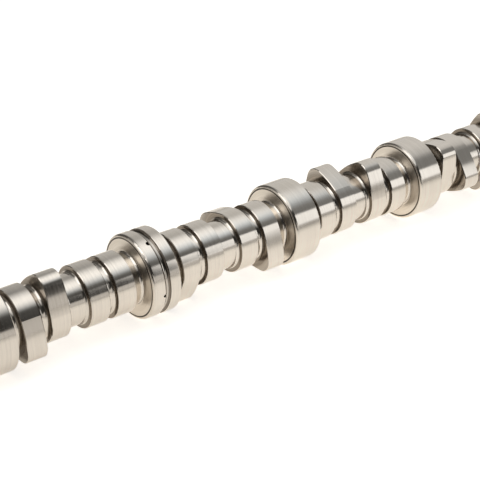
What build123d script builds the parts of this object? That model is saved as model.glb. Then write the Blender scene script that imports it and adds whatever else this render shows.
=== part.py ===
from build123d import *
import os
from math import atan2, cos, degrees, radians, sin, sqrt, tan

# Ground steel camshaft of a V8 engine: bearing journals and roller cam lobes turned and ground from
# one bar, with a timing dowel pressed into the front face. Sizes are millimetres and degrees.
# X runs along the axis, from the front face of the nose to the rear, and Z is up.
# A clock angle is read from the front, clockwise from the top.

# Bearing journals
JOURNAL_PITCH = 111.76
JOURNAL_DIAMETER = 55.0
JOURNAL_WIDTH = 20.2
JOURNAL_FRONT_RADIUS = 2.0
JOURNAL_REAR_RADIUS = 0.6

# Cam lobes, four in each bay between two journals, placed from the middle of the bay
BASE_CIRCLE_DIAMETER = 39.8
INTAKE_LIFT = 7.3
EXHAUST_LIFT = 7.1
NOSE_RADIUS = 9.5
FLANK_RADIUS = 60.0
LOBE_WIDTH = 13.0
LOBE_CHAMFER = 0.4
INNER_LOBE_OFFSET = 13.45
OUTER_LOBE_OFFSET = 32.15

# Grind: odd cylinders stand on one bank and even ones on the other
FIRING_ORDER = (1, 8, 7, 2, 6, 5, 4, 3)
BANK_ANGLE = 90.0
LOBE_SEPARATION = 112.5
FIRST_INTAKE_CLOCK = 128.5

# Bare core between the collars
CORE_UNDERCUT = 3.8
ROOT_FILLET = 2.25

# Oil groove round the second journal, with two drillings through its front lip
GROOVED_JOURNAL = 2
GROOVE_SETBACK = 10.7
GROOVE_WIDTH = 4.2
GROOVE_DEPTH = 1.9
GROOVE_LIP_CHAMFER = 0.25
OIL_HOLE_SETBACK = 8.0
OIL_HOLE_DIAMETER = 2.0
OIL_HOLE_DEPTH = 7.0
OIL_HOLE_CLOCKS = (22.5, 97.0)

# Front nose, which the sprocket bolts to
NOSE_LENGTH = 6.6
NOSE_STEP = 5.0
NOSE_CHAMFER = 0.8
BOLT_CIRCLE = 30.0
BOLT_COUNT = 3
BOLT_HOLE_DIAMETER = 6.8
BOLT_HOLE_DEPTH = 18.0
FIRST_BOLT_CLOCK = 60.0

# Timing dowel, pressed in line to line
DOWEL_CLOCK = 0.0
DOWEL_CIRCLE = 30.0
DOWEL_DIAMETER = 8.0
DOWEL_SEAT_DEPTH = 11.0
DOWEL_STAND_OUT = 7.5
DOWEL_CHAMFER = 0.8
DOWEL_RELIEF_WIDTH = 0.6
DOWEL_RELIEF_DEPTH = 0.3

# Lathe centres in both ends and the points that the drills leave
CENTRE_MOUTH_DIAMETER = 11.0
CENTRE_PILOT_DIAMETER = 4.0
CENTRE_PILOT_DEPTH = 6.0
CENTRE_ANGLE = 60.0
DRILL_POINT_ANGLE = 118.0

# Derived sizes
JOURNAL_RADIUS = JOURNAL_DIAMETER / 2
BASE_RADIUS = BASE_CIRCLE_DIAMETER / 2
CORE_RADIUS = BASE_RADIUS - CORE_UNDERCUT
FIRING_STEP = 360 / len(FIRING_ORDER)
BAY_COUNT = len(FIRING_ORDER) // 2
JOURNAL_FRONTS = [NOSE_LENGTH + i * JOURNAL_PITCH for i in range(BAY_COUNT + 1)]
REAR_FACE = JOURNAL_FRONTS[-1] + JOURNAL_WIDTH
GROOVED_FRONT = JOURNAL_FRONTS[GROOVED_JOURNAL - 1]
GROOVE_MIDDLE = GROOVED_FRONT + GROOVE_SETBACK

# A tool that enters a face starts on it and grows along its axis
ON_FACE = (Align.CENTER, Align.CENTER, Align.MIN)


def clock_direction(clock):
    """Unit vector across the shaft at a clock angle."""
    turn = radians(clock)
    return Vector(0, -sin(turn), cos(turn))


def across(x, clock=0.0):
    """Plane square to the shaft at station x, facing the rear, its own X axis at a clock angle."""
    return Plane(origin=(x, 0, 0), x_dir=clock_direction(clock), z_dir=(1, 0, 0))


def rim_edges(collar):
    """Outline edges of the front and rear faces of a collar."""
    faces = collar.faces().sort_by(Axis.X)
    return faces[0].edges() + faces[-1].edges()


def round_collar(x, radius, width, finish, front_edge, rear_edge):
    """Cylinder on the shaft's axis, its rims finished in one way, each to its own size."""
    collar = extrude(across(x) * Circle(radius), width)
    collar = finish(collar.faces().sort_by(Axis.X)[0].edges(), front_edge)
    return finish(collar.faces().sort_by(Axis.X)[-1].edges(), rear_edge)


def lobe_outline(lift):
    """Base circle and nose joined by convex flanks tangent to both, with the nose on the X axis."""
    nose_centre = BASE_RADIUS + lift - NOSE_RADIUS
    base_reach = FLANK_RADIUS - BASE_RADIUS
    nose_reach = FLANK_RADIUS - NOSE_RADIUS
    flank_x = (base_reach**2 - nose_reach**2 + nose_centre**2) / (2 * nose_centre)
    flank_y = sqrt(base_reach**2 - flank_x**2)
    base_angle = degrees(atan2(flank_y, -flank_x))
    nose_angle = degrees(atan2(flank_y, nose_centre - flank_x))
    flank_sweep = base_angle - nose_angle
    nose = CenterArc((nose_centre, 0), NOSE_RADIUS, -nose_angle, 2 * nose_angle)
    first_flank = CenterArc((flank_x, -flank_y), FLANK_RADIUS, nose_angle, flank_sweep)
    base = CenterArc((0, 0), BASE_RADIUS, base_angle, 360 - 2 * base_angle)
    second_flank = CenterArc((flank_x, flank_y), FLANK_RADIUS, -base_angle, flank_sweep)
    return make_face([nose, first_flank, base, second_flank])


def cam_lobe(middle, clock, lift):
    """One ground lobe centred at a station, its nose at a clock angle."""
    front = across(middle - LOBE_WIDTH / 2, clock)
    lobe = extrude(front * lobe_outline(lift), LOBE_WIDTH)
    return chamfer(rim_edges(lobe), LOBE_CHAMFER)


def intake_clock(cylinder):
    """Clock angle of a cylinder's intake nose, from its turn in the firing order and its bank."""
    turn = FIRING_ORDER.index(cylinder) * FIRING_STEP
    bank = 0 if cylinder % 2 else BANK_ANGLE
    return FIRST_INTAKE_CLOCK - turn - bank


def bay_lobes(bay):
    """Four lobes of one bay, front to rear: odd intake, even exhaust, odd exhaust, even intake."""
    middle = JOURNAL_FRONTS[bay] + (JOURNAL_WIDTH + JOURNAL_PITCH) / 2
    odd = intake_clock(2 * bay + 1)
    even = intake_clock(2 * bay + 2)
    return [
        cam_lobe(middle - OUTER_LOBE_OFFSET, odd, INTAKE_LIFT),
        cam_lobe(middle - INNER_LOBE_OFFSET, even + LOBE_SEPARATION, EXHAUST_LIFT),
        cam_lobe(middle + INNER_LOBE_OFFSET, odd + LOBE_SEPARATION, EXHAUST_LIFT),
        cam_lobe(middle + OUTER_LOBE_OFFSET, even, INTAKE_LIFT),
    ]


def root_fillet():
    """Fillet at the foot of the collars, held within the narrowest groove and the lowest step."""
    between_lobes = OUTER_LOBE_OFFSET - INNER_LOBE_OFFSET - LOBE_WIDTH
    beside_journal = (JOURNAL_PITCH - JOURNAL_WIDTH - LOBE_WIDTH) / 2 - OUTER_LOBE_OFFSET
    step = CORE_UNDERCUT - LOBE_CHAMFER
    return min(ROOT_FILLET, 0.4 * between_lobes, 0.4 * beside_journal, 0.8 * step)


def turned_blank():
    """Nose, journals and lobes on the core, with the fillets at their feet."""
    core = extrude(across(NOSE_LENGTH) * Circle(CORE_RADIUS), REAR_FACE - JOURNAL_WIDTH / 2 - NOSE_LENGTH)
    nose_reach = NOSE_LENGTH + JOURNAL_WIDTH / 2
    nose = round_collar(0, JOURNAL_RADIUS - NOSE_STEP, nose_reach, chamfer, NOSE_CHAMFER, NOSE_CHAMFER)
    journals = [
        round_collar(
            front, JOURNAL_RADIUS, JOURNAL_WIDTH, fillet, JOURNAL_FRONT_RADIUS, JOURNAL_REAR_RADIUS
        )
        for front in JOURNAL_FRONTS
    ]
    lobes = [lobe for bay in range(BAY_COUNT) for lobe in bay_lobes(bay)]
    blank = core + [nose, *journals, *lobes]
    circles = blank.edges().filter_by(GeomType.CIRCLE)
    feet = circles.filter_by(lambda edge: abs(edge.radius - CORE_RADIUS) < 0.001)
    return fillet(feet, root_fillet())


def drilled_hole(mouth, diameter, depth):
    """Drill-pointed hole to cut, going in along the mouth plane's normal."""
    point = diameter / 2 / tan(radians(DRILL_POINT_ANGLE / 2))
    wall = Cylinder(diameter / 2, depth, align=ON_FACE)
    tip = Pos(0, 0, depth) * Cone(diameter / 2, 0, point, align=ON_FACE)
    return mouth * (wall + tip)


def lathe_centre(mouth):
    """Centre hole to cut in an end face: a cone that runs into a short pilot."""
    cone_depth = (CENTRE_MOUTH_DIAMETER - CENTRE_PILOT_DIAMETER) / 2 / tan(radians(CENTRE_ANGLE / 2))
    cone = mouth * Cone(
        CENTRE_MOUTH_DIAMETER / 2, CENTRE_PILOT_DIAMETER / 2, cone_depth, align=ON_FACE
    )
    return cone + drilled_hole(mouth, CENTRE_PILOT_DIAMETER, cone_depth + CENTRE_PILOT_DEPTH)


def oil_groove(shaft):
    """Round-bottomed groove in one journal, its lips broken, and the oil holes through its front lip."""
    section_radius = (GROOVE_WIDTH**2 / 4 + GROOVE_DEPTH**2) / (2 * GROOVE_DEPTH)
    ring_radius = JOURNAL_RADIUS - GROOVE_DEPTH + section_radius
    shaft -= across(GROOVE_MIDDLE) * Torus(ring_radius, section_radius)
    circles = shaft.edges().filter_by(GeomType.CIRCLE)
    reach = 0.6 * GROOVE_WIDTH
    lips = circles.filter_by_position(Axis.X, GROOVE_MIDDLE - reach, GROOVE_MIDDLE + reach)
    shaft = chamfer(lips, GROOVE_LIP_CHAMFER)
    for clock in OIL_HOLE_CLOCKS:
        outward = clock_direction(clock)
        mouth = Vector(GROOVED_FRONT + OIL_HOLE_SETBACK, 0, 0) + outward * JOURNAL_RADIUS
        shaft -= drilled_hole(Plane(mouth, z_dir=-outward), OIL_HOLE_DIAMETER, OIL_HOLE_DEPTH)
    return shaft


def front_drillings():
    """Bolt holes, dowel hole and lathe centre to cut in the front face."""
    cuts = [lathe_centre(across(0))]
    for i in range(BOLT_COUNT):
        mouth = across(0, FIRST_BOLT_CLOCK + i * 360 / BOLT_COUNT) * Pos(BOLT_CIRCLE / 2, 0, 0)
        cuts.append(drilled_hole(mouth, BOLT_HOLE_DIAMETER, BOLT_HOLE_DEPTH))
    seat = across(0, DOWEL_CLOCK) * Pos(DOWEL_CIRCLE / 2, 0, 0)
    cuts.append(seat * Cylinder(DOWEL_DIAMETER / 2, DOWEL_SEAT_DEPTH, align=ON_FACE))
    return cuts


def camshaft():
    """Finished shaft: the turned blank with its groove, drillings and centres."""
    shaft = oil_groove(turned_blank())
    rear = Plane(origin=(REAR_FACE, 0, 0), z_dir=(-1, 0, 0))
    return shaft - [*front_drillings(), lathe_centre(rear)]


def timing_dowel():
    """Pin that fills its seat and stands out of it, both ends chamfered, with a relief at the face."""
    radius = DOWEL_DIAMETER / 2
    tip = across(-DOWEL_STAND_OUT, DOWEL_CLOCK) * Pos(DOWEL_CIRCLE / 2, 0, 0)
    pin = tip * Cylinder(radius, DOWEL_STAND_OUT + DOWEL_SEAT_DEPTH, align=ON_FACE)
    pin = chamfer(rim_edges(pin), DOWEL_CHAMFER)
    ring = Cylinder(radius, DOWEL_RELIEF_WIDTH, align=ON_FACE)
    ring -= Cylinder(radius - DOWEL_RELIEF_DEPTH, DOWEL_RELIEF_WIDTH, align=ON_FACE)
    return pin - tip * Pos(0, 0, DOWEL_STAND_OUT - DOWEL_RELIEF_WIDTH) * ring


os.makedirs("parts", exist_ok=True)
for name, piece in (("camshaft", camshaft()), ("timing_dowel", timing_dowel())):
    export_step(piece, f"parts/{name}.step")
    print(name, round(piece.volume), "cubic millimetres")
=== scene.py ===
from math import cos, pi, radians, sin

import bmesh
import bpy
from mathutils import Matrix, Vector


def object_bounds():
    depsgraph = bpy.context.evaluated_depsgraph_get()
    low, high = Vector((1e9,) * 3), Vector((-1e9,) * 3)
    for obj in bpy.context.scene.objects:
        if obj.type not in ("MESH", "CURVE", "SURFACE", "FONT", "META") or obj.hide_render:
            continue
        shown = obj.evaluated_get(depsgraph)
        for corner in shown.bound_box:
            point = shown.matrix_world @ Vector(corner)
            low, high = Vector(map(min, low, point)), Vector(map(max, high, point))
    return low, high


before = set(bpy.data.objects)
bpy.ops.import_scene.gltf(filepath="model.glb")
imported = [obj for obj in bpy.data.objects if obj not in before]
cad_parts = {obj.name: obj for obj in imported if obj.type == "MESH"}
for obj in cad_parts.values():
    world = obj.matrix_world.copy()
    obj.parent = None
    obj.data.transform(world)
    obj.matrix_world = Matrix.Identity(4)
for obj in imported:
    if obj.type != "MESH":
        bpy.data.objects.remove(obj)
cad_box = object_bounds()

# Camera, found by laying the part's outlines over the photograph
CAMERA_PLACE = (-0.2530, -0.5888, 0.3956)
CAMERA_TURN = (61.921, 0.0, -37.85)
CAMERA_LENS = 97.65
CAMERA_SENSOR = 36.0
CAMERA_CLIP = (0.01, 50.0)

# Stations along X; the half width is a little over the journal's own, so that it takes in the faces
JOURNAL_PITCH = 0.11176
FIRST_JOURNAL_MIDDLE = 0.0167
JOURNAL_HALF_WIDTH = 0.0104
NOSE_END = 0.0080
REAR_END = cad_box[1][0] - 0.004

# Oil groove round the second journal, painted darker as shade with its wall that faces ahead darkest, and its
# oil holes as pairs of clock and radius
GROOVE_MIDDLE = 0.12906
GROOVE_HALF_WIDTH = 0.0022
GROOVE_LIP_RADIUS = 0.0272
GROOVE_WALL_FACING = -0.4
GROOVE_PAINTED_SHADE = (0.60, 0.56, 0.51, 1.0)
GROOVE_WALL_PAINTED_SHADE = (0.24, 0.21, 0.18, 1.0)
# Each oil hole is painted black as shade, over a circle a little wider than the drilled hole
OIL_HOLE_STATION = 0.12636
OIL_HOLES = ((22.5, 0.0015), (97.0, 0.0011))
OIL_HOLE_PAINTED_SHADE = (0.012, 0.010, 0.008, 1.0)

# A dark ring is painted in the corner of each journal's front face: a painted dark reflection on the rounded
# rim
CORNER_RING_INNER = (0.0247, 0.0250)
CORNER_RING_OUTER = (0.0256, 0.0260)
CORNER_RING_FACING = (0.55, 0.72)
CORNER_PAINTED_REFLECTION = (0.045, 0.037, 0.03, 1.0)

# Faces that look to the rear are painted darker than those that look to the front, as painted shade, all but
# the rear end
REAR_FACING = 0.5
REAR_FACE_COVER = 0.8
REAR_FACE_PAINTED_SHADE = (0.16, 0.142, 0.122, 1.0)

# A surface turns from a round into a side face between these shares of its normal along X
SIDE_FACING = (0.72, 0.86)

# Lobe sides are painted darker as shade, going from the darkest root to the paler nose between these radii
NOSE_SIDE_RADII = (0.0202, 0.0250)

# Tool marks, which hardly change round the shaft: noise as scale, detail and roughness
MARK_STRETCH = 0.012
COARSE_MARKS = (900.0, 3.0, 0.6)
FINE_MARKS = (4200.0, 2.0, 0.6)
COARSE_SHARE = 0.6
CLOUDS = (38.0, 3.0, 0.55)
MIDDLE_OF_NOISE = 0.5
MARK_CONTRAST = (0.36, 0.64)
MARK_STRENGTH = 0.08

# How far clouds, marks and the coarser turning of the journal faces change the gloss
CLOUD_BLUR = 0.10
MARK_BLUR = 0.10
JOURNAL_FACE_BLUR = 0.12
GLOSS_TURN = 0.25

# Darkest and palest tone of each kind of surface; the lobe sides' tones are painted shade, darkest at the
# root
SHAFT_TONES = {
    "round": ((0.75, 0.70, 0.64, 1.0), (0.82, 0.77, 0.705, 1.0)),
    "journal_side": ((0.74, 0.68, 0.60, 1.0), (0.84, 0.78, 0.70, 1.0)),
    "nose_side_shade": ((0.38, 0.345, 0.305, 1.0), (0.50, 0.46, 0.41, 1.0)),
    "root_side_shade": ((0.19, 0.164, 0.136, 1.0), (0.36, 0.313, 0.26, 1.0)),
}
DOWEL_SIDE = ((0.42, 0.41, 0.40, 1.0), (0.52, 0.51, 0.50, 1.0))
DOWEL_TONES = {
    "round": ((0.52, 0.51, 0.50, 1.0), (0.60, 0.59, 0.58, 1.0)),
    "journal_side": DOWEL_SIDE,
    "nose_side_shade": DOWEL_SIDE,
    "root_side_shade": DOWEL_SIDE,
}

# Floor, with the soft shadow that the shaft leaves on it, partly real and partly painted where occlusion dims
# the floor's glow
FLOOR_SIZE = 8.0
FLOOR_DROP = 0.00005
FLOOR_COLOUR = (0.90, 0.87, 0.825, 1.0)
FLOOR_ROUGHNESS = 0.9
FLOOR_GLOW = 0.80
FLOOR_WHITE = (1.0, 0.985, 0.96, 1.0)
SHADOW_REACH = 0.04
SHADOW_DEPTH = 0.14
SHADOW_SAMPLES = 8

# In the steel the floor shows cream, as a painted pool of light: paler near the shaft, lifted under it where
# its shadow falls, and darker away from it and beyond the front end
FLOOR_CREAM = (1.0, 0.945, 0.86, 1.0)
MIRRORED_GLOW = 0.48
PAINTED_LIGHT_UNDER_SHAFT = 0.5
POOL_EDGE = (0.06, 0.45)
POOL_FALL = 0.45
FRONT_END_FADE = (-0.40, 0.30)

# Room, square to the photograph's view; pairs say by direction where a tone begins and is full
MIDDLE_OF_SHAFT = Vector((0.235, 0.0, 0.0))
ROOM_RIGHT = (0.789, -0.614, 0.0)
ROOM_AHEAD = (0.614, 0.789, 0.0)
ROOM_UP = (0.0, 0.0, 1.0)
BACKDROP = (0.94, 0.93, 0.91, 1.0)
DARK_ROOM_NEAR = (0.025, 0.024, 0.022, 1.0)
DARK_ROOM_FAR = (0.22, 0.22, 0.215, 1.0)
DARK_ROOM_LEFT = (0.09, 0.085, 0.078, 1.0)
DARK_NEAR_TO_FAR = (-0.4, 0.0)
DARK_LEFT_TO_RIGHT = (-0.5, -0.2)

# Far wall, which reaches higher on the right and stops at a dark gap beside the right card
FAR_WALL_LEFT = (0.63, 0.615, 0.585, 1.0)
FAR_WALL_RIGHT = (0.72, 0.71, 0.69, 1.0)
WALL_LEFT_TO_RIGHT = (-0.1, 0.35)
WALL_LEAN = 0.75
WALL_REACH = (0.55, 0.95)
WALL_GAP = (0.55, 0.74)

# Low pale strip along the right, which ends lower where the right card hangs over it
LOW_STRIP_NEAR = (0.60, 0.575, 0.54, 1.0)
LOW_STRIP_FAR = (0.42, 0.405, 0.38, 1.0)
STRIP_LEFT_END = (0.2, 0.5)
STRIP_TOP = (0.17, 0.25)
STRIP_FALL = 0.3
STRIP_FALL_FROM = -0.42
STRIP_TOP_UNDER_CARD = (0.09, 0.14)
STRIP_CARD_START = (-0.38, -0.30)

# Low pale card on the left, brighter at its near part
LOW_LEFT_NEAR = (0.72, 0.70, 0.67, 1.0)
LOW_LEFT_FAR = (0.36, 0.35, 0.33, 1.0)
LOW_LEFT_SIDE = (0.40, 0.60)
LOW_LEFT_TOP = (0.55, 0.75)
LOW_LEFT_NEAR_END = (-0.55, -0.40)
LOW_LEFT_FAR_END = (0.25, 0.40)
LOW_LEFT_NEAR_TO_FAR = (-0.15, 0.0)

# Overhead soft box
OVERHEAD_PLACE = Vector((0.161, -0.067, 0.50))
OVERHEAD_SIZE = (1.26, 0.86)
OVERHEAD_TURN = 12.3
OVERHEAD_BRIGHTNESS = 0.94
OVERHEAD_SOFT_EDGE = 0.42
OVERHEAD_COOL_FROM = (0.10, 0.46)
OVERHEAD_COOL = (0.86, 0.99, 1.10, 1.0)
OVERHEAD_WHITE = (1.0, 0.99, 0.97, 1.0)

# Upright cards; the left one's place is right of, ahead of and above the shaft's middle
RIGHT_CARD_PLACE = (0.977, -0.80, 0.379)
RIGHT_CARD_AIM = (0.977, 0.0, 0.379)
RIGHT_CARD_SIZE = (0.80, 0.60)
RIGHT_CARD_BRIGHTNESS = 0.98
RIGHT_CARD_SOFT_EDGE = 0.10
RIGHT_CARD_WHITE = (1.0, 1.0, 0.99)
LEFT_CARD_PLACE = (-0.50, -0.255, 0.64)
LEFT_CARD_SIZE = (0.50, 0.64)
LEFT_CARD_BRIGHTNESS = 1.0
LEFT_CARD_WHITE = (1.0, 0.99, 0.97)


def feed(tree, socket, value):
    """Gives a node's input a number or a colour, or links another node's output to it."""
    if isinstance(value, bpy.types.NodeSocket):
        tree.links.new(value, socket)
    else:
        socket.default_value = value


def math_node(tree, operation, *values):
    """Math node on sockets or numbers; returns its output."""
    node = tree.nodes.new("ShaderNodeMath")
    node.operation = operation
    for socket, value in zip(node.inputs, values):
        feed(tree, socket, value)
    return node.outputs[0]


def total(tree, first, *others):
    """Sum of sockets or numbers."""
    for other in others:
        first = math_node(tree, "ADD", first, other)
    return first


def product(tree, first, *others):
    """Product of sockets or numbers."""
    for other in others:
        first = math_node(tree, "MULTIPLY", first, other)
    return first


def rest_of(tree, mask):
    """What a mask leaves out."""
    return math_node(tree, "SUBTRACT", 1.0, mask)


def distance(tree, aside, along):
    """Straight distance over two steps that are square to each other."""
    return math_node(tree, "SQRT", total(tree, product(tree, aside, aside), product(tree, along, along)))


def smooth_step(tree, value, low, high):
    """Soft mask that goes from 0 at low to 1 at high."""
    node = tree.nodes.new("ShaderNodeMapRange")
    node.interpolation_type = "SMOOTHSTEP"
    node.inputs["From Min"].default_value = low
    node.inputs["From Max"].default_value = high
    tree.links.new(value, node.inputs["Value"])
    return node.outputs["Result"]


def mix(tree, mask, first, second, kind="RGBA"):
    """Goes from first to second with a mask: colours, or numbers where the kind is VALUE."""
    node = tree.nodes.new("ShaderNodeMix")
    node.data_type = "FLOAT" if kind == "VALUE" else kind
    tree.links.new(mask, node.inputs["Factor"])
    for name, value in (("A", first), ("B", second)):
        feed(tree, next(s for s in node.inputs if s.name == name and s.type == kind), value)
    return next(s for s in node.outputs if s.type == kind)


def noise(tree, vector, scale, detail, roughness):
    """Noise texture on a vector; returns its value."""
    node = tree.nodes.new("ShaderNodeTexNoise")
    node.inputs["Scale"].default_value = scale
    node.inputs["Detail"].default_value = detail
    node.inputs["Roughness"].default_value = roughness
    tree.links.new(vector, node.inputs["Vector"])
    return node.outputs["Fac"]


def share(tree, vector, direction):
    """How far a vector runs along a direction."""
    node = tree.nodes.new("ShaderNodeVectorMath")
    node.operation = "DOT_PRODUCT"
    node.inputs[1].default_value = direction
    tree.links.new(vector, node.inputs[0])
    return node.outputs["Value"]


def split(tree, vector):
    """The X, Y and Z of a vector."""
    node = tree.nodes.new("ShaderNodeSeparateXYZ")
    tree.links.new(vector, node.inputs[0])
    return node.outputs


def join(tree, *places):
    """Vector made of X, Y and Z."""
    node = tree.nodes.new("ShaderNodeCombineXYZ")
    for socket, value in zip(node.inputs, places):
        feed(tree, socket, value)
    return node.outputs[0]


def tool_marks(tree, x, y, z, radius, side_face):
    """Marks that change along the shaft on its rounds, and with the radius on its side faces."""
    station = mix(tree, side_face, x, radius, "VALUE")
    stretched = join(tree, station, product(tree, y, MARK_STRETCH), product(tree, z, MARK_STRETCH))
    coarse = noise(tree, stretched, *COARSE_MARKS)
    fine = noise(tree, stretched, *FINE_MARKS)
    return total(tree, product(tree, coarse, COARSE_SHARE), product(tree, fine, 1.0 - COARSE_SHARE))


def journal_mask(tree, x):
    """Journals, and the nose ahead of the first one."""
    from_first = math_node(tree, "SUBTRACT", x, FIRST_JOURNAL_MIDDLE)
    off_middle = math_node(tree, "PINGPONG", from_first, JOURNAL_PITCH / 2)
    in_journal = math_node(tree, "LESS_THAN", off_middle, JOURNAL_HALF_WIDTH)
    return math_node(tree, "MAXIMUM", in_journal, math_node(tree, "LESS_THAN", x, NOSE_END))


def groove_mask(tree, x, radius):
    """Oil groove, below its lip, where it is painted darker as shade."""
    off_middle = math_node(tree, "ABSOLUTE", math_node(tree, "SUBTRACT", x, GROOVE_MIDDLE))
    between_walls = math_node(tree, "LESS_THAN", off_middle, GROOVE_HALF_WIDTH)
    return product(tree, between_walls, math_node(tree, "LESS_THAN", radius, GROOVE_LIP_RADIUS))


def painted_oil_hole_shade_mask(tree, position, x):
    """Painted shade of the oil holes: close to each one's axis and on its own side of the shaft."""
    holes = []
    forward = math_node(tree, "SUBTRACT", x, OIL_HOLE_STATION)
    for clock, hole_radius in OIL_HOLES:
        turn = radians(clock)
        outward = share(tree, position, (0.0, -sin(turn), cos(turn)))
        aside = share(tree, position, (0.0, cos(turn), sin(turn)))
        near_axis = math_node(tree, "LESS_THAN", distance(tree, aside, forward), hole_radius)
        holes.append(product(tree, near_axis, math_node(tree, "GREATER_THAN", outward, 0.0)))
    return total(tree, *holes)


def painted_corner_reflection_mask(tree, radius, facing, journal):
    """Dark ring painted in the corner of each journal's front face: a painted dark reflection."""
    past_face = smooth_step(tree, radius, *CORNER_RING_INNER)
    before_land = rest_of(tree, smooth_step(tree, radius, *CORNER_RING_OUTER))
    forward_facing = smooth_step(tree, product(tree, facing, -1.0), *CORNER_RING_FACING)
    return product(tree, past_face, before_land, forward_facing, journal)


def painted_rear_shade_mask(tree, x, facing):
    """Painted shade on faces that look to the rear, all but the rear end."""
    looks_back = math_node(tree, "GREATER_THAN", facing, REAR_FACING)
    return product(tree, looks_back, math_node(tree, "LESS_THAN", x, REAR_END), REAR_FACE_COVER)


def grinding_marks_group():
    """Node group: marks that a grinding wheel or a lathe tool leaves round the X axis, where they lie, and
    where shade and a dark reflection are painted.
    """
    tree = bpy.data.node_groups.new("grinding_marks", "ShaderNodeTree")
    for name in ("Position", "Normal"):
        tree.interface.new_socket(name, in_out="INPUT", socket_type="NodeSocketVector")
    for name in ("Marks", "Cloud", "Side Face", "Painted Rear Shade", "Journal", "Nose", "Painted Corner Reflection", "Groove",
                 "Painted Groove Wall Shade", "Painted Oil Hole Shade"):
        tree.interface.new_socket(name, in_out="OUTPUT", socket_type="NodeSocketFloat")
    group_in = tree.nodes.new("NodeGroupInput")
    group_out = tree.nodes.new("NodeGroupOutput")
    position = group_in.outputs["Position"]
    x, y, z = split(tree, position)
    facing = split(tree, group_in.outputs["Normal"])[0]
    radius = distance(tree, y, z)
    side_face = smooth_step(tree, math_node(tree, "ABSOLUTE", facing), *SIDE_FACING)
    journal = journal_mask(tree, x)
    groove = groove_mask(tree, x, radius)
    looks_ahead = math_node(tree, "LESS_THAN", facing, GROOVE_WALL_FACING)
    surfaces = {
        "Marks": tool_marks(tree, x, y, z, radius, side_face),
        "Cloud": noise(tree, position, *CLOUDS),
        "Side Face": side_face,
        "Painted Rear Shade": painted_rear_shade_mask(tree, x, facing),
        "Journal": journal,
        "Nose": smooth_step(tree, radius, *NOSE_SIDE_RADII),
        "Painted Corner Reflection": painted_corner_reflection_mask(tree, radius, facing, journal),
        "Groove": groove,
        "Painted Groove Wall Shade": product(tree, groove, looks_ahead),
        "Painted Oil Hole Shade": painted_oil_hole_shade_mask(tree, position, x),
    }
    for name, mask in surfaces.items():
        tree.links.new(mask, group_out.inputs[name])
    return tree


def surface_tone(tree, surfaces, tones):
    """Each kind of surface in its tones, the lobe sides and rear faces painted darker as shade, with the
    painted dark reflection of the corner ring and the painted shade of the groove and the oil holes over
    them.
    """
    contrast = smooth_step(tree, surfaces["Marks"], *MARK_CONTRAST)
    marked = {kind: mix(tree, contrast, *ends) for kind, ends in tones.items()}
    # Lobe sides painted as shade, darkest at the root between the lobes
    lobe_side_shade = mix(tree, surfaces["Nose"], marked["root_side_shade"], marked["nose_side_shade"])
    side = mix(tree, surfaces["Journal"], lobe_side_shade, marked["journal_side"])
    # Rear faces are painted darker as shade
    side = mix(tree, surfaces["Painted Rear Shade"], side, REAR_FACE_PAINTED_SHADE)
    tone = mix(tree, surfaces["Side Face"], marked["round"], side)
    # Over the tones go the painted dark reflection of the corner ring and the painted shade of the groove,
    # its wall and the oil holes
    for name, over in (("Painted Corner Reflection", CORNER_PAINTED_REFLECTION), ("Groove", GROOVE_PAINTED_SHADE),
                       ("Painted Groove Wall Shade", GROOVE_WALL_PAINTED_SHADE), ("Painted Oil Hole Shade", OIL_HOLE_PAINTED_SHADE)):
        tone = mix(tree, surfaces[name], tone, over)
    return tone


def surface_blur(tree, surfaces, roughness, side_roughness):
    """Roughness of rounds and sides, changed by clouds, tool marks and the turning of the journal faces."""
    plain = mix(tree, surfaces["Side Face"], roughness, side_roughness, "VALUE")
    turning = product(tree, surfaces["Side Face"], surfaces["Journal"], JOURNAL_FACE_BLUR)
    cloud = product(tree, math_node(tree, "SUBTRACT", surfaces["Cloud"], MIDDLE_OF_NOISE), CLOUD_BLUR)
    streak = product(tree, math_node(tree, "SUBTRACT", surfaces["Marks"], MIDDLE_OF_NOISE), MARK_BLUR)
    return total(tree, plain, turning, cloud, streak)


def steel(name, marks_group, tones, roughness, side_roughness, anisotropy, mark_depth):
    """Ground steel: bright rounds and darker faced sides, the lobe sides and rear faces painted darker as
    shade, both with tool marks.
    """
    material = bpy.data.materials.new(name)
    material.use_nodes = True
    tree = material.node_tree
    shader = tree.nodes["Principled BSDF"]
    shader.inputs["Metallic"].default_value = 1.0
    shader.inputs["Anisotropic"].default_value = anisotropy
    shader.inputs["Anisotropic Rotation"].default_value = GLOSS_TURN
    position = tree.nodes.new("ShaderNodeTexCoord").outputs["Object"]
    marks = tree.nodes.new("ShaderNodeGroup")
    marks.node_tree = marks_group
    tree.links.new(position, marks.inputs["Position"])
    tree.links.new(tree.nodes.new("ShaderNodeNewGeometry").outputs["Normal"], marks.inputs["Normal"])
    surfaces = marks.outputs
    tree.links.new(surface_tone(tree, surfaces, tones), shader.inputs["Base Color"])
    tree.links.new(surface_blur(tree, surfaces, roughness, side_roughness), shader.inputs["Roughness"])

    bump = tree.nodes.new("ShaderNodeBump")
    bump.inputs["Strength"].default_value = MARK_STRENGTH
    bump.inputs["Distance"].default_value = mark_depth
    tree.links.new(surfaces["Marks"], bump.inputs["Height"])
    tree.links.new(bump.outputs[0], shader.inputs["Normal"])

    # The marks run round the shaft, so the gloss stretches along it
    _, y, z = split(tree, position)
    tree.links.new(join(tree, 0.0, product(tree, z, -1.0), y), shader.inputs["Tangent"])
    return material


def wear(node, material):
    """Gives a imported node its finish."""
    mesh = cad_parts[node].data
    mesh.materials.clear()
    mesh.materials.append(material)


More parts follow.
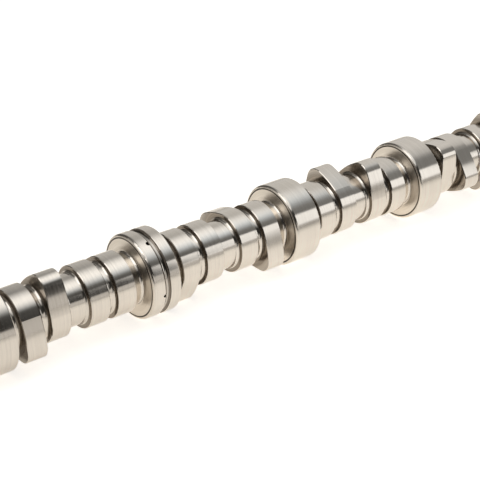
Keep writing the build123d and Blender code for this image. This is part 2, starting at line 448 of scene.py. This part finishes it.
def pale_floor():
    """Plain pale material. Its glow lifts the floor to white and leaves the shadow on it, though occlusion
    dims the glow near the shaft as a painted shadow; in the steel the glow shows cream, as a painted pool of
    light.
    """
    material = bpy.data.materials.new("pale_floor")
    material.use_nodes = True
    tree = material.node_tree
    shader = tree.nodes["Principled BSDF"]
    shader.inputs["Base Color"].default_value = FLOOR_COLOUR
    shader.inputs["Roughness"].default_value = FLOOR_ROUGHNESS
    shader.inputs["Specular IOR Level"].default_value = 0.0
    rays = tree.nodes.new("ShaderNodeLightPath").outputs
    seen = math_node(tree, "MAXIMUM", rays["Is Camera Ray"], rays["Is Transmission Ray"])
    mirrored = rays["Is Glossy Ray"]
    occlusion = tree.nodes.new("ShaderNodeAmbientOcclusion")
    occlusion.samples = SHADOW_SAMPLES
    occlusion.inputs["Distance"].default_value = SHADOW_REACH
    open_floor = occlusion.outputs["AO"]
    # Occlusion dims the glow near the shaft: a painted shadow over the real one
    lit = total(tree, product(tree, open_floor, SHADOW_DEPTH), 1.0 - SHADOW_DEPTH)
    plain_glow = product(tree, seen, lit, FLOOR_GLOW)

    # Painted light in the steel's reflections of the floor: a cream pool near the shaft, lifted where the
    # shaft's shadow falls and darker beyond the front end
    x, y, _ = split(tree, tree.nodes.new("ShaderNodeTexCoord").outputs["Object"])
    far_off = smooth_step(tree, math_node(tree, "ABSOLUTE", y), *POOL_EDGE)
    painted_light_pool = rest_of(tree, product(tree, far_off, POOL_FALL))
    front_end = smooth_step(tree, x, *FRONT_END_FADE)
    under = total(tree, product(tree, rest_of(tree, open_floor), PAINTED_LIGHT_UNDER_SHAFT), 1.0)
    mirrored_glow = product(tree, mirrored, under, painted_light_pool, front_end, MIRRORED_GLOW)
    tree.links.new(mix(tree, mirrored, FLOOR_WHITE, FLOOR_CREAM), shader.inputs["Emission Color"])
    tree.links.new(total(tree, plain_glow, mirrored_glow), shader.inputs["Emission Strength"])
    return material


def studio_floor(level):
    """Flat floor under the journals."""
    shape = bmesh.new()
    bmesh.ops.create_grid(shape, x_segments=1, y_segments=1, size=FLOOR_SIZE / 2)
    bmesh.ops.translate(shape, verts=shape.verts, vec=(MIDDLE_OF_SHAFT.x, 0.0, level))
    mesh = bpy.data.meshes.new("studio_floor")
    shape.to_mesh(mesh)
    shape.free()
    floor = bpy.data.objects.new("studio_floor", mesh)
    bpy.context.scene.collection.objects.link(floor)
    mesh.materials.append(pale_floor())


def dark_room(tree, ahead, right):
    """Dark walls, darkest behind the camera."""
    room = mix(tree, smooth_step(tree, ahead, *DARK_NEAR_TO_FAR), DARK_ROOM_NEAR, DARK_ROOM_FAR)
    return mix(tree, smooth_step(tree, right, *DARK_LEFT_TO_RIGHT), DARK_ROOM_LEFT, room)


def with_far_wall(tree, room, ahead, right):
    """Adds the pale far wall."""
    wall = mix(tree, smooth_step(tree, right, *WALL_LEFT_TO_RIGHT), FAR_WALL_LEFT, FAR_WALL_RIGHT)
    reach = smooth_step(tree, total(tree, ahead, product(tree, right, WALL_LEAN)), *WALL_REACH)
    short_of_gap = rest_of(tree, smooth_step(tree, right, *WALL_GAP))
    return mix(tree, product(tree, reach, short_of_gap), room, wall)


def with_low_strip(tree, room, ahead, right, height):
    """Adds the low pale strip along the right, above the floor's far edge."""
    beside_card = smooth_step(tree, ahead, *STRIP_CARD_START)
    fall = product(tree, math_node(tree, "SUBTRACT", ahead, STRIP_FALL_FROM), STRIP_FALL)
    low = rest_of(tree, smooth_step(tree, total(tree, height, fall), *STRIP_TOP))
    lower = rest_of(tree, smooth_step(tree, height, *STRIP_TOP_UNDER_CARD))
    below_top = total(tree, product(tree, beside_card, lower), product(tree, rest_of(tree, beside_card), low))
    on_strip = product(tree, below_top, smooth_step(tree, right, *STRIP_LEFT_END))
    return mix(tree, on_strip, room, mix(tree, beside_card, LOW_STRIP_NEAR, LOW_STRIP_FAR))


def with_low_left_card(tree, room, ahead, right, height):
    """Adds the low pale card on the left."""
    from_left = smooth_step(tree, product(tree, right, -1.0), *LOW_LEFT_SIDE)
    under_top = rest_of(tree, smooth_step(tree, height, *LOW_LEFT_TOP))
    past_near = smooth_step(tree, ahead, *LOW_LEFT_NEAR_END)
    short_of_far = rest_of(tree, smooth_step(tree, ahead, *LOW_LEFT_FAR_END))
    on_card = product(tree, from_left, under_top, past_near, short_of_far)
    card = mix(tree, smooth_step(tree, ahead, *LOW_LEFT_NEAR_TO_FAR), LOW_LEFT_NEAR, LOW_LEFT_FAR)
    return mix(tree, on_card, room, card)


def studio_world():
    """Room that the steel mirrors. Past the floor's edge the camera sees a plain pale backdrop."""
    world = bpy.data.worlds.new("studio_room")
    bpy.context.scene.world = world
    world.use_nodes = True
    tree = world.node_tree
    way = tree.nodes.new("ShaderNodeTexCoord").outputs["Generated"]
    ahead = share(tree, way, ROOM_AHEAD)
    right = share(tree, way, ROOM_RIGHT)
    height = share(tree, way, ROOM_UP)
    room = dark_room(tree, ahead, right)
    room = with_far_wall(tree, room, ahead, right)
    room = with_low_strip(tree, room, ahead, right, height)
    room = with_low_left_card(tree, room, ahead, right, height)
    seen = tree.nodes.new("ShaderNodeLightPath").outputs["Is Camera Ray"]
    background = tree.nodes["Background"]
    tree.links.new(mix(tree, seen, room, BACKDROP), background.inputs["Color"])
    background.inputs["Strength"].default_value = 1.0


def in_room(right, ahead, up):
    """Point given by how far it lies right of, ahead of and above the shaft's middle."""
    return MIDDLE_OF_SHAFT + right * Vector(ROOM_RIGHT) + ahead * Vector(ROOM_AHEAD) + up * Vector(ROOM_UP)


def soft_light(name, place, aim, size, brightness, colour):
    """Large soft box at a place, turned to aim at a point. A brightness of 1 looks white."""
    data = bpy.data.lights.new(name, "AREA")
    data.shape = "RECTANGLE"
    data.size, data.size_y = size
    data.energy = brightness * pi * size[0] * size[1]
    data.color = colour
    lamp = bpy.data.objects.new(name, data)
    lamp.location = place
    lamp.rotation_euler = (Vector(aim) - Vector(place)).to_track_quat("-Z", "Y").to_euler()
    lamp.visible_camera = False
    bpy.context.scene.collection.objects.link(lamp)
    return lamp


def feather(lamp, edge):
    """Fades a soft box towards its edges over a width in metres."""
    lamp.data.use_nodes = True
    tree = lamp.data.node_tree
    across = split(tree, tree.nodes.new("ShaderNodeNewGeometry").outputs["Parametric"])
    fades = []
    for way, size in zip(across, (lamp.data.size, lamp.data.size_y)):
        # Each way across the box runs from 0 to 1, so its middle is at 0.5
        off_middle = math_node(tree, "ABSOLUTE", math_node(tree, "SUBTRACT", way, 0.5))
        from_edge = product(tree, math_node(tree, "SUBTRACT", 0.5, off_middle), size)
        fades.append(smooth_step(tree, from_edge, 0.0, edge))
    tree.links.new(product(tree, *fades), tree.nodes["Emission"].inputs["Strength"])


def cool_right_edge(lamp):
    """Turns the overhead box cooler towards its right edge."""
    tree = lamp.data.node_tree
    right = share(tree, tree.nodes.new("ShaderNodeNewGeometry").outputs["Position"], ROOM_RIGHT)
    from_middle = math_node(tree, "SUBTRACT", right, OVERHEAD_PLACE.dot(Vector(ROOM_RIGHT)))
    tint = mix(tree, smooth_step(tree, from_middle, *OVERHEAD_COOL_FROM), OVERHEAD_WHITE, OVERHEAD_COOL)
    tree.links.new(tint, tree.nodes["Emission"].inputs["Color"])


def studio_lamps():
    """Two upright cards and a soft box overhead."""
    right_card = soft_light("right_card", RIGHT_CARD_PLACE, RIGHT_CARD_AIM, RIGHT_CARD_SIZE,
                            RIGHT_CARD_BRIGHTNESS, RIGHT_CARD_WHITE)
    feather(right_card, RIGHT_CARD_SOFT_EDGE)
    soft_light("left_card", in_room(*LEFT_CARD_PLACE), MIDDLE_OF_SHAFT, LEFT_CARD_SIZE,
               LEFT_CARD_BRIGHTNESS, LEFT_CARD_WHITE)
    overhead = soft_light("overhead_box", OVERHEAD_PLACE, OVERHEAD_PLACE - Vector(ROOM_UP), OVERHEAD_SIZE,
                          OVERHEAD_BRIGHTNESS, (1.0, 1.0, 1.0))
    overhead.rotation_euler = (0.0, 0.0, radians(OVERHEAD_TURN))
    feather(overhead, OVERHEAD_SOFT_EDGE)
    cool_right_edge(overhead)


def studio_camera():
    """Camera at the photograph's place."""
    data = bpy.data.cameras.new("photo_camera")
    data.lens = CAMERA_LENS
    data.sensor_width = CAMERA_SENSOR
    data.clip_start, data.clip_end = CAMERA_CLIP
    camera = bpy.data.objects.new("photo_camera", data)
    camera.location = CAMERA_PLACE
    camera.rotation_euler = [radians(turn) for turn in CAMERA_TURN]
    bpy.context.scene.collection.objects.link(camera)
    bpy.context.scene.camera = camera


bpy.context.scene.view_settings.view_transform = "Standard"
studio_camera()
studio_world()
studio_floor(cad_box[0][2] - FLOOR_DROP)
studio_lamps()

grinding_marks = grinding_marks_group()
wear("camshaft", steel("ground_steel", grinding_marks, SHAFT_TONES, roughness=0.15, side_roughness=0.20,
                       anisotropy=0.45, mark_depth=0.00002))
wear("timing_dowel", steel("dowel_steel", grinding_marks, DOWEL_TONES, roughness=0.26, side_roughness=0.32,
                           anisotropy=0.0, mark_depth=0.00001))
